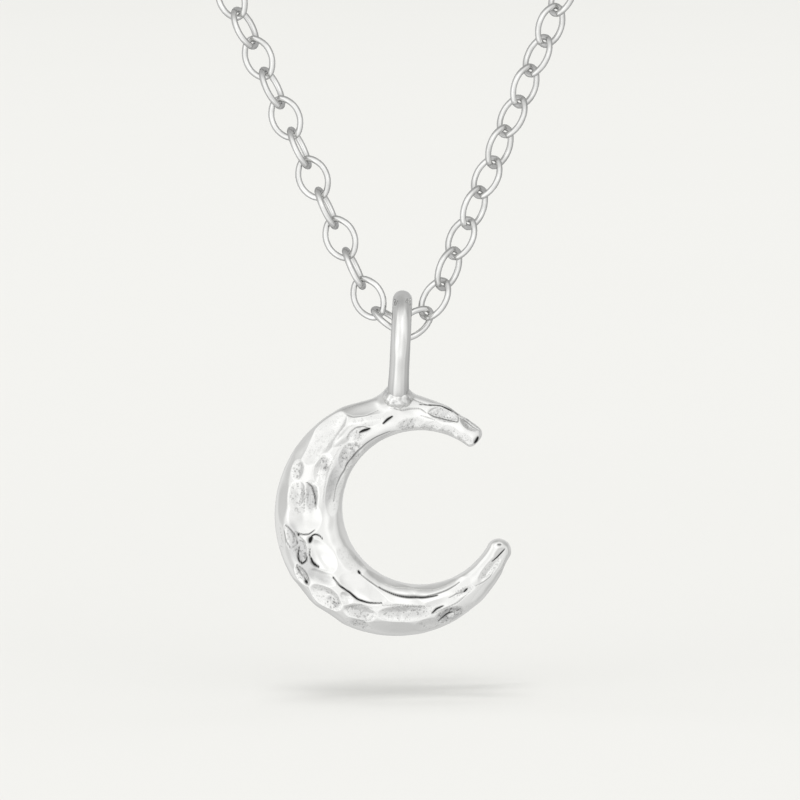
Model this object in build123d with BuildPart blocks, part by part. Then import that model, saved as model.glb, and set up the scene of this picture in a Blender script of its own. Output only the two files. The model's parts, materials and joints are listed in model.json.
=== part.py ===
from build123d import *
import os
from collections import namedtuple
from math import acos, asin, atan2, cos, degrees, exp, hypot, pi, radians, sin, sqrt, tan

# Moon necklace: a hammered silver crescent on a soldered bail, threaded on a cable chain.
# Millimetres and degrees, +Z up, -Y to the front. The origin is where the chain rests on the nape.
os.makedirs("parts", exist_ok=True)

# Cable chain
link_pitch = 2.0
link_wire = 0.37
link_width = 2.11
link_end_radius = 0.60
link_play = 0.105
vertex_play = 0.20
links_left = 110
links_right = 111

# Drape of the chain, measured in the sheet that its two halves lie in
bail_link_angle = 53.5
second_link_angle = 27.0
leg_angle = 23.4
chest_lean = 12.0
nape_lean = 80.0
chest_run = 70.0
nape_run = 186.0

# Bail: a pear-shaped loop of round wire
bail_wire = 1.18
bail_bore_radius = 1.5
bail_foot_radius = 0.75
bail_lean = 3.5
bail_play = 0.11
bail_offset_x = -0.10
bail_offset_y = 0.0

# Crescent
hollow_radius = 4.65
outer_radius = 7.28
outer_shift_x = -1.446
outer_shift_z = -0.456
moon_depth = 3.0
tip_depth = 1.2
ridge_skew = 0.2
upper_tip_angle = 48.0
lower_tip_angle = 338.0
tip_rounding = 0.45

# Crescent's place under the bail
moon_shift = 1.0
moon_drop = 10.4
foot_sink = 0.35
mound_height = 0.35
mound_spread = 1.0

# Clasp and end ring, hidden behind the neck
clasp_radius = 2.25
clasp_tube = 1.1
eyelet_radius = 0.8
eyelet_wire = 0.5
end_ring_radius = 1.8
end_ring_wire = 0.6
ring_play = 0.12

# Roll of the links about the chain, by link number counted from the bail
Roll = namedtuple("Roll", "link roll")
left_rolls = [Roll(0, 25.0), Roll(2, 14.0), Roll(6, 18.0), Roll(10, 34.0), Roll(links_left, 0.0)]
right_rolls = [Roll(0, 40.0), Roll(2, 36.0), Roll(6, 40.0), Roll(10, 48.0), Roll(links_right, 0.0)]

# Hammer marks on the front. angle is counted about the hollow's centre from the right, and
# across runs from 0 at the hollow to 1 at the outer edge. half_length and half_width are
# shares of the crescent's width, and depth is a share of its depth.
Mark = namedtuple("Mark", "angle across half_length half_width depth")
front_marks = [
    Mark(59, 0.82, 0.14, 0.10, 0.040),
    Mark(65, 0.22, 0.28, 0.09, 0.030),
    Mark(75, 0.66, 0.22, 0.12, 0.045),
    Mark(93, 0.14, 0.28, 0.09, 0.030),
    Mark(108, 0.60, 0.16, 0.11, 0.040),
    Mark(118, 0.38, 0.26, 0.09, 0.040),
    Mark(121, 0.72, 0.28, 0.13, 0.050),
    Mark(131, 0.40, 0.16, 0.11, 0.045),
    Mark(142, 0.70, 0.36, 0.16, 0.060),
    Mark(147, 0.24, 0.19, 0.11, 0.045),
    Mark(157, 0.45, 0.24, 0.14, 0.060),
    Mark(163, 0.82, 0.18, 0.14, 0.050),
    Mark(170, 0.19, 0.19, 0.10, 0.045),
    Mark(175, 0.56, 0.21, 0.18, 0.070),
    Mark(188, 0.62, 0.20, 0.21, 0.070),
    Mark(194, 0.88, 0.20, 0.12, 0.050),
    Mark(201, 0.75, 0.15, 0.10, 0.060),
    Mark(204, 0.42, 0.26, 0.17, 0.075),
    Mark(210, 0.88, 0.15, 0.11, 0.050),
    Mark(215, 0.66, 0.17, 0.12, 0.055),
    Mark(226, 0.84, 0.25, 0.18, 0.065),
    Mark(232, 0.58, 0.12, 0.10, 0.045),
    Mark(235, 0.33, 0.32, 0.15, 0.060),
    Mark(243, 0.70, 0.23, 0.13, 0.055),
    Mark(259, 0.52, 0.34, 0.14, 0.055),
    Mark(268, 0.82, 0.22, 0.12, 0.050),
    Mark(285, 0.78, 0.20, 0.13, 0.050),
    Mark(296, 0.52, 0.22, 0.12, 0.045),
    Mark(313, 0.50, 0.26, 0.14, 0.045),
    Mark(328, 0.60, 0.14, 0.10, 0.035),
]

# The back is hammered evenly, in rows that take turns along the arc
back_rows = (0.30, 0.66, 0.88)
back_step = 9.5
back_half_length = 0.22
back_half_width = 0.15
back_depth = 0.050

# Facets of the crescent's skin
stations_along = 92
stations_around = 26
stations_rounding = 4


# The gap between the two last links is closed by the eyelet, the clasp and the end ring in line.
# Each of these is measured from the end of the right half.
eyelet_x = eyelet_radius - (eyelet_wire + link_wire) / 2 - ring_play
clasp_x = eyelet_x + eyelet_radius + clasp_radius + clasp_tube / 2
ring_near = clasp_x + clasp_radius - (clasp_tube + end_ring_wire) / 2 - ring_play
link_hold = (end_ring_wire + link_wire) / 2 + ring_play
closing_run = (ring_near + 2 * end_ring_radius - link_hold) / 2

# Half of the loop: two steep links at the bail, a straight leg, then one arc round to the nape
overlap = link_wire + link_play
link_reach = (link_pitch + overlap) / 2
half_length = (links_left + links_right) / 2 * link_pitch
steep_spread = link_pitch * (sin(radians(bail_link_angle)) + sin(radians(second_link_angle)))
leg = radians(leg_angle)
neck_radius = half_length - 2 * link_pitch + (steep_spread - closing_run) / sin(leg)
neck_radius /= 1 / tan(leg) + pi / 2 + leg
leg_length = half_length - 2 * link_pitch - neck_radius * (pi / 2 + leg)


def roll_at(rolls, link):
    """Roll of a link, read off its table in straight lines."""
    for row, following in zip(rolls, rolls[1:]):
        if link <= following.link:
            share = (link - row.link) / (following.link - row.link)
            return row.roll + share * (following.roll - row.roll)
    return rolls[-1].roll


def heading(run):
    """Angle from straight up in the sheet, at a length of chain from the bail."""
    if run < link_pitch:
        return radians(bail_link_angle)
    if run < 2 * link_pitch:
        return radians(second_link_angle)
    return leg - max(0.0, run - 2 * link_pitch - leg_length) / neck_radius


def lean_at(rise):
    """Lean of the sheet towards the back: steady on the chest, then turning over the shoulder."""
    share = (rise - chest_run) / (nape_run - chest_run)
    return radians(chest_lean + (nape_lean - chest_lean) * min(1.0, max(0.0, share)))


def link_directions(side, number, rise, roll):
    """Direction along a link and direction of its width. Every second link is turned upright."""
    angle = heading((number + 0.5) * link_pitch)
    lean = lean_at(rise + link_pitch * cos(angle) / 2)
    along = Vector(side * sin(angle), cos(angle) * sin(lean), cos(angle) * cos(lean))
    front = Vector(0, -cos(lean), sin(lean))
    front = (front - along * front.dot(along)).normalized()
    turn = radians(roll + (90 if number % 2 == 0 else 0))
    return along, along.cross(front) * cos(turn) + front * sin(turn)


def hook_direction(across, next_across, along):
    """Common perpendicular of two crossing end wires, on the side that the chain runs to."""
    hook = across.cross(next_across).normalized()
    return hook if hook.dot(along) > 0 else hook * -1


def walk(side, count, rolls, start):
    """Centre and directions of each link of a half, hooked into the last, and the far end."""
    places = []
    rise = 0.0
    tip = start
    for number in range(count):
        along, across = link_directions(side, number, rise, roll_at(rolls, number))
        if places:
            last_centre, last_along, last_across = places[-1]
            tip = tip - hook_direction(last_across, across, last_along) * overlap
        centre = tip + along * link_reach
        places.append((centre, along, across))
        tip = centre + along * link_reach
        rise += link_pitch * cos(heading((number + 0.5) * link_pitch))
    return places, tip


# The two halves hook into each other inside the bail
left_along, left_across = link_directions(-1, 0, 0.0, left_rolls[0].roll)
right_along, right_across = link_directions(1, 0, 0.0, right_rolls[0].roll)
vertex_hook = hook_direction(right_across, left_across, left_along - right_along)
vertex_gap = vertex_hook * (overlap + vertex_play) / 2
left_places, left_tip = walk(-1, links_left, left_rolls, vertex_gap * -1)
right_places, right_tip = walk(1, links_right, right_rolls, vertex_gap)
nape = (left_tip + right_tip) * 0.5

# One link is an oval of four tangent arcs
link_half_width = (link_width - link_wire) / 2
side_radius = (link_reach - link_end_radius) ** 2 + link_half_width**2 - link_end_radius**2
side_radius /= 2 * (link_half_width - link_end_radius)
side_drop = side_radius - link_half_width
end_reach = link_reach - link_end_radius
blend_angle = degrees(atan2(side_drop, end_reach))

with BuildPart() as link:
    with BuildLine() as oval:
        CenterArc((end_reach, 0), link_end_radius, -blend_angle, 2 * blend_angle)
        CenterArc((0, -side_drop), side_radius, blend_angle, 180 - 2 * blend_angle)
        CenterArc((-end_reach, 0), link_end_radius, 180 - blend_angle, 2 * blend_angle)
        CenterArc((0, side_drop), side_radius, 180 + blend_angle, 180 - 2 * blend_angle)
    with BuildSketch(Plane((link_reach, 0, 0), x_dir=(1, 0, 0), z_dir=(0, 1, 0))):
        Circle(link_wire / 2)
    sweep(path=oval.wire())


def seat(place):
    """Location of a link from its centre and its two directions."""
    centre, along, across = place
    return Location(Plane(centre - nape, x_dir=along, z_dir=along.cross(across)))


# Chain halves, loose links all the way
with BuildPart() as chain_left:
    add([link.part.moved(seat(place)) for place in left_places], clean=False)
chain_left.part.label = "chain_left"
export_step(chain_left.part, "parts/chain_left.step")

with BuildPart() as chain_right:
    add([link.part.moved(seat(place)) for place in right_places], clean=False)
chain_right.part.label = "chain_right"
export_step(chain_right.part, "parts/chain_right.step")

# Clasp: a plain ring with a soldered eyelet, in one line between the two last links
closing = (left_tip - right_tip).normalized()
lying = Plane(right_tip - nape, x_dir=closing, z_dir=right_places[-1][2])


def on_closing_line(plane, distance):
    """Location of a ring that lies in a plane through the closing line."""
    return Location(Plane(plane.origin + closing * distance, x_dir=closing, z_dir=plane.z_dir))


with BuildPart() as clasp:
    with Locations(on_closing_line(lying, clasp_x)):
        Torus(clasp_radius, clasp_tube / 2)
    with Locations(on_closing_line(lying, eyelet_x)):
        Torus(eyelet_radius, eyelet_wire / 2)
clasp.part.label = "clasp"
export_step(clasp.part, "parts/clasp.step")

# End ring: it stands across the clasp and reaches to the last link of the left half, so it
# takes up the little by which the two ends miss the run worked out above
ring_far = (left_tip - right_tip).length + link_hold
upright = Plane(lying.origin, x_dir=closing, z_dir=lying.y_dir)

with BuildPart() as end_ring:
    with Locations(on_closing_line(upright, (ring_near + ring_far) / 2)):
        Torus((ring_far - ring_near) / 2, end_ring_wire / 2)
end_ring.part.label = "end_ring"
export_step(end_ring.part, "parts/end_ring.step")

# Bail: its ring part turns round the hooked links, and hangs as low as they leave it clear
bail_radius = bail_bore_radius + bail_wire / 2
bail_up = Vector(sin(radians(bail_lean)), 0, cos(radians(bail_lean)))
bail_axis = Vector(cos(radians(bail_lean)), 0, -sin(radians(bail_lean)))
hooked_step = 5
height_step = 0.01


def oval_point(turn):
    """Point on a link's centreline, at a turn from -180 to 180 degrees about its centre."""
    end = 1 if abs(turn) <= 90 else -1
    side = 1 if turn > 0 else -1
    folded = min(abs(turn), 180 - abs(turn))
    if folded <= blend_angle:
        x = end_reach + link_end_radius * cos(radians(folded))
        return end * x, side * link_end_radius * sin(radians(folded))
    y = side_radius * sin(radians(folded)) - side_drop
    return end * side_radius * cos(radians(folded)), side * y


hooked_points = []
for centre, along, across in left_places[:2] + right_places[:2]:
    for turn in range(-180, 180, hooked_step):
        x, y = oval_point(turn)
        hooked_points.append(centre + along * x + across * y)


def bail_clears(middle):
    """True where a ring about this middle clears every hooked link."""
    for point in hooked_points:
        sideways = (point - middle).dot(bail_axis)
        outward = (point - middle - bail_axis * sideways).length
        if hypot(outward - bail_radius, sideways) < (bail_wire + link_wire) / 2 + bail_play:
            return False
    return True


bail_middle = Vector(bail_offset_x, bail_offset_y, -bail_radius)
while not bail_clears(bail_middle):
    bail_middle += Vector(0, 0, height_step)
bail_centre = bail_middle - nape

# From here on the crescent is placed from the middle of the bail's ring
hollow_z = -moon_drop
outer_x = moon_shift + outer_shift_x
outer_z = hollow_z + outer_shift_z
foot_dot = -(bail_up.X * outer_x + bail_up.Z * outer_z)
foot_distance = foot_dot - sqrt(foot_dot**2 - outer_x**2 - outer_z**2 + outer_radius**2)
foot_depth = foot_distance + foot_sink - bail_foot_radius
pear_angle = degrees(asin((bail_radius - bail_foot_radius) / foot_depth))
foot_point = bail_up * -foot_distance


def outer_reach(angle):
    """Distance from the hollow's centre to the outer circle."""
    toward = outer_shift_x * cos(angle) + outer_shift_z * sin(angle)
    return toward + sqrt(outer_radius**2 - outer_shift_x**2 - outer_shift_z**2 + toward**2)


moon_width = outer_radius + hypot(outer_shift_x, outer_shift_z) - hollow_radius
tip_width = outer_reach(radians(upper_tip_angle)) - hollow_radius


def section_point(angle, around, scale=1.0):
    """Point of the smooth skin: a skewed oval section with its ridge nearer the hollow."""
    width = outer_reach(angle) - hollow_radius
    fullness = (width - tip_width) / (moon_width - tip_width)
    depth = tip_depth + (moon_depth - tip_depth) * fullness
    across = (1 - cos(around)) / 2 - ridge_skew * sin(around) ** 2
    radius = hollow_radius + width / 2 + scale * width * (across - 0.5)
    front = -scale * depth / 2 * sin(around)
    return Vector(moon_shift + radius * cos(angle), front, hollow_z + radius * sin(angle))


def core_point(angle):
    """Point inside a section, towards which the skin is beaten in."""
    radius = (hollow_radius + outer_reach(angle)) / 2
    return Vector(moon_shift + radius * cos(angle), 0, hollow_z + radius * sin(angle))


def around_at(across):
    """Turn about a section at which the smooth skin lies at a share across it."""
    root = sqrt(0.25 - 4 * ridge_skew * (0.5 - ridge_skew - across))
    return acos((0.5 - root) / (2 * ridge_skew))


def placed_mark(mark, around):
    """Centre, directions and real size of a hammer mark."""
    angle = radians(mark.angle)
    step = radians(0.5)
    along = section_point(angle + step, around) - section_point(angle - step, around)
    across = section_point(angle, around + step) - section_point(angle, around - step)
    half_length = mark.half_length * moon_width
    half_width = mark.half_width * moon_width
    depth = mark.depth * moon_depth
    centre = section_point(angle, around)
    return centre, along.normalized(), across.normalized(), half_length, half_width, depth


marks = [placed_mark(mark, around_at(mark.across)) for mark in front_marks]
back_count = int((lower_tip_angle - upper_tip_angle) / back_step)
for number in range(1, back_count):
    row = back_rows[number % len(back_rows)]
    angle = upper_tip_angle + number * back_step
    mark = Mark(angle, row, back_half_length, back_half_width, back_depth)
    marks.append(placed_mark(mark, -around_at(row)))


def worked(point, core):
    """A skin point after hammering and soldering, moved towards or away from the core."""
    sink = 0.0
    for centre, along, across, half_length, half_width, depth in marks:
        offset = point - centre
        bowl = 1 - (offset.dot(along) / half_length) ** 2 - (offset.dot(across) / half_width) ** 2
        if bowl > 0 and offset.dot(across.cross(along)) < half_width + depth:
            sink = max(sink, depth * bowl)
    outward = (point - core).normalized()
    share = (point - foot_point).length / mound_spread
    return point + outward * (mound_height * exp(-(share**2)) - sink)


def moon_stations():
    """Angle and scale of each section between the two rounded tips, the poles left out."""
    start = radians(upper_tip_angle)
    end = radians(lower_tip_angle)
    rounding = tip_rounding / (hollow_radius + tip_width / 2)
    turns = [radians(90) * step / stations_rounding for step in range(1, stations_rounding)]
    length = end - start - 2 * rounding
    stations = [(start + rounding * (1 - cos(turn)), sin(turn)) for turn in turns]
    for step in range(stations_along + 1):
        stations.append((start + rounding + length * step / stations_along, 1.0))
    stations += [(end - rounding * (1 - cos(turn)), sin(turn)) for turn in reversed(turns)]
    return stations


def facet(*corners):
    """One flat facet of the crescent."""
    return Face(Wire.make_polygon([corner + bail_centre for corner in corners]))


rings = []
for angle, scale in moon_stations():
    turns = [2 * pi * step / stations_around for step in range(stations_around)]
    rings.append([worked(section_point(angle, turn, scale), core_point(angle)) for turn in turns])

facets = []
for ring, following in zip(rings, rings[1:]):
    for step in range(stations_around):
        ahead = (step + 1) % stations_around
        facets.append(facet(ring[step], ring[ahead], following[ahead]))
        facets.append(facet(ring[step], following[ahead], following[step]))
for ring, tip_angle in ((rings[0], upper_tip_angle), (rings[-1], lower_tip_angle)):
    pole = section_point(radians(tip_angle), 0, 0)
    for step in range(stations_around):
        facets.append(facet(ring[step], ring[(step + 1) % stations_around], pole))

# Crescent and bail are soldered into one piece
bail_plane = Plane(bail_centre, x_dir=(0, 1, 0), z_dir=bail_axis)

with BuildPart() as pendant:
    add(Solid(Shell(facets)))
    with BuildLine(bail_plane) as pear:
        top_arc = CenterArc((0, 0), bail_radius, -pear_angle, 180 + 2 * pear_angle)
        foot_arc = CenterArc((0, -foot_depth), bail_foot_radius, 180 + pear_angle, 180 - 2 * pear_angle)
        Line(top_arc @ 1, foot_arc @ 0)
        Line(foot_arc @ 1, top_arc @ 0)
    with BuildSketch(Plane(top_arc @ 0.5, x_dir=bail_axis, z_dir=top_arc % 0.5)):
        Circle(bail_wire / 2)
    sweep(path=pear.wire())
pendant.part.label = "pendant"
export_step(pendant.part, "parts/pendant.step")

print("nape to bail centre", bail_centre, "swing axis", bail_axis)
print("volume", sum(part.part.volume for part in (pendant, chain_left, chain_right, clasp, end_ring)))
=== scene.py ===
import json
from collections import namedtuple

import bpy
import numpy as np
from mathutils import Matrix, Vector


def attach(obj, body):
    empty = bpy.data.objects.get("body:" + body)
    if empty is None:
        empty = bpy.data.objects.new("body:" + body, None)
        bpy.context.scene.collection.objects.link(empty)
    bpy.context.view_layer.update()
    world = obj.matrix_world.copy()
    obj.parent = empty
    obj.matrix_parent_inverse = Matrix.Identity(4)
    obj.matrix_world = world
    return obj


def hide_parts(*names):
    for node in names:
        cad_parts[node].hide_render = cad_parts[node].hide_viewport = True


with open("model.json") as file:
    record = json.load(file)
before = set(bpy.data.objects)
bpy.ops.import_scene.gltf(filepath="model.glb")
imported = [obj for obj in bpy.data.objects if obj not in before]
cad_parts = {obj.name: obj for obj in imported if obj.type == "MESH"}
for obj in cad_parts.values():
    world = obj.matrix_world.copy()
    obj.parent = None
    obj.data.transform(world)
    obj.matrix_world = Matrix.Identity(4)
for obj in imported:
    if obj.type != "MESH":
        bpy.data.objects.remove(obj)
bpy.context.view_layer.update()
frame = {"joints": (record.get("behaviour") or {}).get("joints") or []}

# %% [markdown]
# # A hammered moon on a cable chain
# This lesson dresses the CAD model of a silver necklace: a crescent that was beaten with a round
# hammer, a loop of wire soldered to it as its bail, and a cable chain of two halves that hook into
# each other inside the bail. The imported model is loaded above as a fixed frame, and every piece
# below is worked out in the same place, so nothing has to be moved there afterwards. All sizes up
# to the studio are in millimetres and are turned into metres only when a mesh is made.

# %% Look at the frame
joint = frame["joints"][0]
bail_centre = np.array(joint["pos_m"]) * 1000
bail_axis = np.array(joint["axis"])
print("middle of the bail's ring", bail_centre, "its axis", bail_axis)

# %% [markdown]
# ## From a grid of points to a mesh
# Each piece is a surface of two parameters: one runs along it and one runs around it. A grid of
# points holds it, and a face joins each point to its three neighbours ahead. That is quicker than
# modelling by hand, and the density can be changed with one number. Most of the surfaces close
# round on themselves, so the last column joins the first.


# %% Helpers for grids
def grid_faces(rows, columns, closed):
    """Faces of a grid of rows x columns points whose columns close on themselves.

    Point (r, c) has the number r * columns + c. A closed grid joins its last row to its first.
    """
    row = np.arange(rows if closed else rows - 1)[:, None]
    column = np.arange(columns)
    ahead = (column + 1) % columns
    after = (row + 1) % rows
    here, there = row * columns, after * columns
    corners = (here + column, here + ahead, there + ahead, there + column)
    return np.stack(np.broadcast_arrays(*corners), axis=-1).reshape(-1, 4)


def inside(points, faces):
    """Volume held by a closed mesh: the sum of p0 . (p1 x p2) / 6 over its triangles."""
    p = points[faces]
    triangles = [p[:, [0, k, k + 1]] for k in range(1, faces.shape[1] - 1)]
    return sum(np.einsum("ij,ij->", t[:, 0], np.cross(t[:, 1], t[:, 2])) for t in triangles) / 6


def unit(vectors):
    """Vectors shortened or lengthened to 1."""
    return vectors / np.linalg.norm(vectors, axis=-1, keepdims=True)


def make_piece(name, points, face_sets, body, node):
    """A smooth-shaded mesh from points in millimetres, which rides on a body and replaces a node.

    Where the faces of a set enclose a negative volume, they face inwards, and all are turned round.
    """
    volume = sum(inside(points, faces) for faces in face_sets)
    if volume < 0:
        face_sets = [faces[:, ::-1] for faces in face_sets]
    mesh = bpy.data.meshes.new(name)
    faces = [face for face_set in face_sets for face in face_set.tolist()]
    mesh.from_pydata((points * 0.001).tolist(), [], faces)
    mesh.polygons.foreach_set("use_smooth", np.ones(len(mesh.polygons), bool))
    piece = bpy.data.objects.new(name, mesh)
    bpy.context.scene.collection.objects.link(piece)
    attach(piece, body)
    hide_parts(node)
    print(name, len(mesh.vertices), "points", len(mesh.polygons), "faces", round(abs(volume), 2), "mm3")
    return piece


# %% [markdown]
# ## The crescent's smooth skin
# The real crescent starts as a tapered silver rod that is bent into a moon. Seen from the front it
# lies between two circles, one inside the other and off its centre, and its section is an oval
# whose ridge lies nearer the hollow than the rim. The skin is a function of the angle about the
# hollow and of the turn about the section, so both circles can be held to the CAD model exactly.

# %% Sizes of the crescent
hollow_radius = 4.65
outer_radius = 7.28
outer_shift = np.array([-1.446, -0.456])
moon_depth = 3.0
tip_depth = 1.2
ridge_skew = 0.2
upper_tip = np.radians(48.0)
lower_tip = np.radians(338.0)
upper_rounding = 0.45
upper_squareness = 2.6
lower_rounding = 0.65
lower_squareness = 2.1
hollow_centre = np.array([1.0, 0.0, -10.4])


def outer_reach(angle):
    """Distance from the hollow's centre to the outer circle, along a ray at an angle.

    It is the positive root of reach^2 - 2 * toward * reach + shift^2 - outer_radius^2 = 0.
    """
    toward = outer_shift[0] * np.cos(angle) + outer_shift[1] * np.sin(angle)
    return toward + np.sqrt(outer_radius**2 - outer_shift @ outer_shift + toward**2)


moon_width = outer_radius + np.hypot(*outer_shift) - hollow_radius
tip_width = outer_reach(upper_tip) - hollow_radius


def smooth_skin(angle, turn, scale=1.0):
    """Point of the skin before hammering.

    Across the section it lies at (1 - cos turn) / 2 - skew * sin^2 turn of the width, and in front
    of the middle by sin turn of half the depth. Near a tip both shrink to a point by scale.
    """
    width = outer_reach(angle) - hollow_radius
    fullness = (width - tip_width) / (moon_width - tip_width)
    depth = tip_depth + (moon_depth - tip_depth) * fullness
    across = (1 - np.cos(turn)) / 2 - ridge_skew * np.sin(turn) ** 2
    radius = hollow_radius + width / 2 + scale * width * (across - 0.5)
    front = -scale * depth / 2 * np.sin(turn)
    parts = np.broadcast_arrays(radius * np.cos(angle), front, radius * np.sin(angle))
    return hollow_centre + np.stack(parts, axis=-1)


def turn_at(across):
    """Turn about the section at which the front of the skin lies at a share of its width."""
    root = np.sqrt(0.25 - 4 * ridge_skew * (0.5 - ridge_skew - across))
    return np.arccos((0.5 - root) / (2 * ridge_skew))


# %% Stations along and around the crescent
rows_on_a_tip = 14
rows_between = 600
front_columns = 104
back_columns = 30


def rounded_tip(length, squareness):
    """Angle steps and scales of the sections of a tip, from its pole, and the tip's whole angle.

    Step and scale lie on the curve (1 - step / length)^squareness + scale^squareness = 1.
    """
    turn = np.radians(90) * np.arange(1, rows_on_a_tip) / rows_on_a_tip
    reach = length / (hollow_radius + tip_width / 2)
    return reach * (1 - np.cos(turn) ** (2 / squareness)), np.sin(turn) ** (2 / squareness), reach


upper_step, upper_scale, upper_length = rounded_tip(upper_rounding, upper_squareness)
lower_step, lower_scale, lower_length = rounded_tip(lower_rounding, lower_squareness)
between = np.linspace(upper_tip + upper_length, lower_tip - lower_length, rows_between)
angles = np.concatenate([upper_tip + upper_step, between, lower_tip - lower_step[::-1]])[:, None]
scales = np.concatenate([upper_scale, np.ones(rows_between), lower_scale[::-1]])[:, None]
front_turns = np.linspace(0, np.pi, front_columns, endpoint=False)
back_turns = np.linspace(np.pi, 2 * np.pi, back_columns, endpoint=False)
turns = np.concatenate([front_turns, back_turns])[None, :]

skin = smooth_skin(angles, turns, scales)
core_radius = (hollow_radius + outer_reach(angles)) / 2
core_parts = np.broadcast_arrays(core_radius * np.cos(angles), 0, core_radius * np.sin(angles))
core = hollow_centre + np.stack(core_parts, axis=-1)
outward = unit(skin - core)
print("crescent grid", skin.shape, "widest", round(moon_width, 3), "tip", round(tip_width, 3))

# %% [markdown]
# ## Places read off the photograph
# The blows and creases are what makes this crescent unlike any other, so they lie where the
# photograph shows them. Each place was read in an enlarged view and is written down in pixels of
# that view. A view starts at a column and a row of the photograph and has a zoom. The camera looks
# down a little, so the bulging front of the skin stands lower in the picture than its angle says,
# and a place is found in a few rounds.

# %% Turn a reading into a place on the skin
View = namedtuple("View", "column row zoom")
whole_view = View(262, 385, 5)
eye_view = View(290, 405, 8)
panel_view = View(390, 385, 8)
arm_view = View(420, 535, 8)
field_view = View(272, 500, 11.6)
blob_view = View(272, 500, 10)
photo_scale = 0.06
photo_middle = (419.8, 507.9)
photo_roll = np.radians(0.85)
photo_rise = np.radians(5.0)
rounds = 6


def skin_place(view, x, y):
    """Angle in degrees and share across of the skin at a place of a view.

    With u and v the offsets right and up from the hollow's middle in mm, the angle is atan2(v, u)
    less the camera's roll, and the share is (hypot(u, v) - hollow radius) / width. The skin stands
    out in front by f, so v is lifted by f * sin(rise) before the next round.
    """
    right = (view.column + x / view.zoom - photo_middle[0]) * photo_scale
    up = (photo_middle[1] - view.row - y / view.zoom) * photo_scale
    lift = 0.0
    for _ in range(rounds):
        angle = np.arctan2(up + lift, right) - photo_roll
        width = outer_reach(angle) - hollow_radius
        share = np.clip((np.hypot(right, up + lift) - hollow_radius) / width, 0.02, 0.985)
        lift = (hollow_centre - smooth_skin(angle, turn_at(share)))[1] * np.sin(photo_rise)
    return np.degrees(angle) % 360, share


def read_off(view, places):
    """The places of a view as angles and shares of the skin."""
    return [skin_place(view, x, y) for x, y in places]


print("hollow's left edge is at", np.round(skin_place(whole_view, 402, 614), 2))

# %% [markdown]
# ## Hammer blows
# Each blow of a round-faced hammer leaves a shallow oval bowl. Where two bowls meet, a soft ridge
# is left, and those ridges are what makes hammered silver sparkle. A bump map could fake them, but
# the outline would stay smooth, so the bowls are cut into the mesh. The deepest bowl wins at each
# point, through a soft maximum that rounds the ridges a little, as polishing does. Some blows were
# struck with a textured punch, and a mask of those is kept for the material.

# %% Blows read off the photograph
# Places and half sizes are pixels of the whole view, the direction is degrees from the right.
Reading = namedtuple("Reading", "x y half_length half_width direction depth grain")
blow_readings = [
    Reading(312, 260, 165, 62, 53, 0.26, 0.2),
    Reading(176, 425, 52, 30, 80, 0.12, 0.6),
    Reading(300, 420, 88, 40, 75, 0.28, 0.3),
    Reading(474, 246, 54, 36, 35, 0.20, 0.6),
    Reading(520, 182, 100, 30, 12, 0.12, 0.3),
    Reading(175, 560, 88, 46, 86, 0.22, 0.55),
    Reading(247, 560, 86, 37, 87, 0.25, 0.5),
    Reading(198, 853, 44, 22, -80, 0.16, 0.6),
    Reading(198, 958, 56, 28, -58, 0.18, 0.7),
    Reading(305, 962, 80, 42, -20, 0.16, 0.1),
    Reading(318, 1066, 92, 52, -36, 0.20, 0.35),
    Reading(420, 1066, 38, 30, -38, 0.13, 0.2),
    Reading(486, 1142, 84, 42, -14, 0.17, 0.58),
    Reading(505, 1022, 138, 62, -30, 0.27, 0.0),
    Reading(715, 1142, 142, 44, 2, 0.19, 0.62),
    Reading(936, 1158, 78, 40, 22, 0.19, 1.0),
    Reading(900, 1085, 95, 33, 18, 0.10, 0.0),
    Reading(1005, 1034, 62, 25, 24, 0.09, 0.5),
    Reading(1140, 919, 88, 28, 49, 0.15, 0.4),
    Reading(1192, 850, 42, 28, 55, 0.08, 0.0),
    Reading(908, 146, 80, 38, -14, 0.18, 0.8),
    Reading(1036, 190, 56, 28, -38, 0.14, 0.5),
    Reading(740, 200, 70, 34, 6, 0.10, 0.7),
    Reading(840, 212, 60, 27, -6, 0.09, 0.45),
    Reading(930, 238, 58, 27, -22, 0.10, 0.42),
    Reading(1010, 278, 48, 28, -36, 0.08, 0.30),
    Reading(690, 102, 62, 22, 4, 0.07, 0.6),
    Reading(400, 760, 120, 40, -68, 0.07, 0.0),
    Reading(215, 300, 90, 34, 55, 0.09, 0.0),
    Reading(100, 560, 106, 26, 88, 0.05, 0.0),
    Reading(88, 760, 70, 22, -82, 0.08, 0.3),
    Reading(190, 1040, 70, 24, -48, 0.09, 0.0),
    Reading(330, 1165, 80, 30, -34, 0.10, 0.0),
    Reading(480, 1200, 60, 28, -16, 0.09, 0.6),
    Reading(650, 1223, 128, 36, -4, 0.07, 0.0),
    Reading(830, 1205, 70, 30, 14, 0.10, 0.3),
    Reading(1000, 1150, 110, 30, 23, 0.05, 0.0),
    Reading(1150, 1010, 136, 29, 42, 0.05, 0.0),
]

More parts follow.
